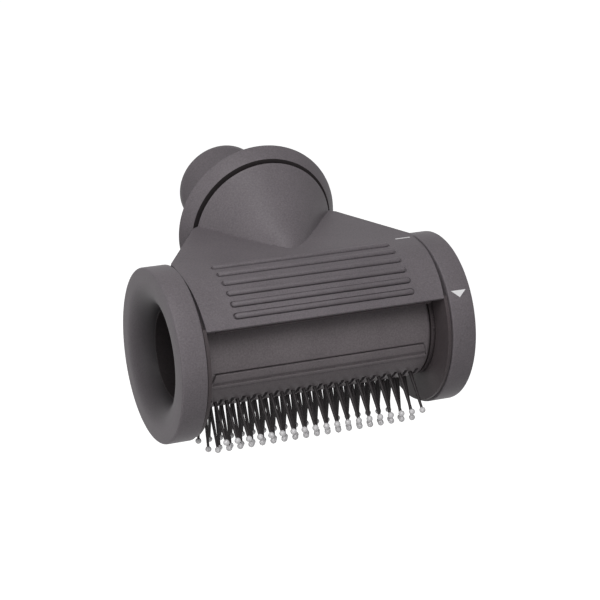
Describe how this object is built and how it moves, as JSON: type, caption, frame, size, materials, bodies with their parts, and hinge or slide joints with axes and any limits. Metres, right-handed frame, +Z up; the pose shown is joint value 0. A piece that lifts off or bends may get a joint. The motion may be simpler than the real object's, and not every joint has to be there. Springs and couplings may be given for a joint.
{
  "type": "hot air brush head",
  "caption": "Hot air brush head: a turning barrel with rows of ball-tipped bristles in a ribbed cowl, on a round neck with a collar and a hollow spigot.",
  "frame": {"origin": "centre of the spigot's rear end", "axes": "+Y out of the spigot towards the handle, X along the barrel, +Z up"},
  "size_m": [0.1076, 0.1062, 0.0905],
  "materials": {
    "casing_grey": "fine satin texture",
    "barrel_grey": "fine satin texture",
    "dark_plastic": "matte",
    "pin_black": "semi-gloss",
    "tip_pale": "smooth, slightly translucent",
    "mark_white": "printed",
    "seal_rubber": "matte",
    "screw_steel": "plain"
  },
  "bodies": {
    "head": {"upper_cowl": "casing_grey", "lower_cowl": "casing_grey", "index_line": "mark_white", "outlet_lip": "dark_plastic", "rear_seal": "seal_rubber", "flow_splitter": "dark_plastic", "casing_screws": "screw_steel", "right_end_plate": "dark_plastic", "left_end_plate": "dark_plastic", "right_bush": "dark_plastic", "left_bush": "dark_plastic", "plate_screws": "screw_steel", "neck_sleeve": "dark_plastic", "spigot": "casing_grey", "neck_gasket": "seal_rubber", "inlet_grille": "dark_plastic"},
    "collar": {"collar": "casing_grey"},
    "barrel": {"throat_tube": "dark_plastic", "roller": "barrel_grey", "roller_strip": "barrel_grey", "right_end_ring": "casing_grey", "left_end_ring": "casing_grey", "arrow_marker": "mark_white", "right_friction_ring": "seal_rubber", "left_friction_ring": "seal_rubber", "bristle_comb_1": "pin_black", "bristle_comb_2": "pin_black", "bristle_comb_3": "pin_black", "bristle_comb_4": "pin_black", "bristle_tips_1": "tip_pale", "bristle_tips_2": "tip_pale", "bristle_tips_3": "tip_pale", "bristle_tips_4": "tip_pale"}
  },
  "joints": [
    {"name": "barrel_turn", "type": "hinge", "parent": "head", "child": "barrel", "pos_m": [0, -0.0762, -0.0249], "axis": [-1, 0, 0], "range_deg": [-25, 58.3]},
    {"name": "collar_turn", "type": "hinge", "parent": "head", "child": "collar", "pos_m": [0, -0.0357, 0], "axis": [0, 1, 0], "range_deg": [0, 30]}
  ]
}
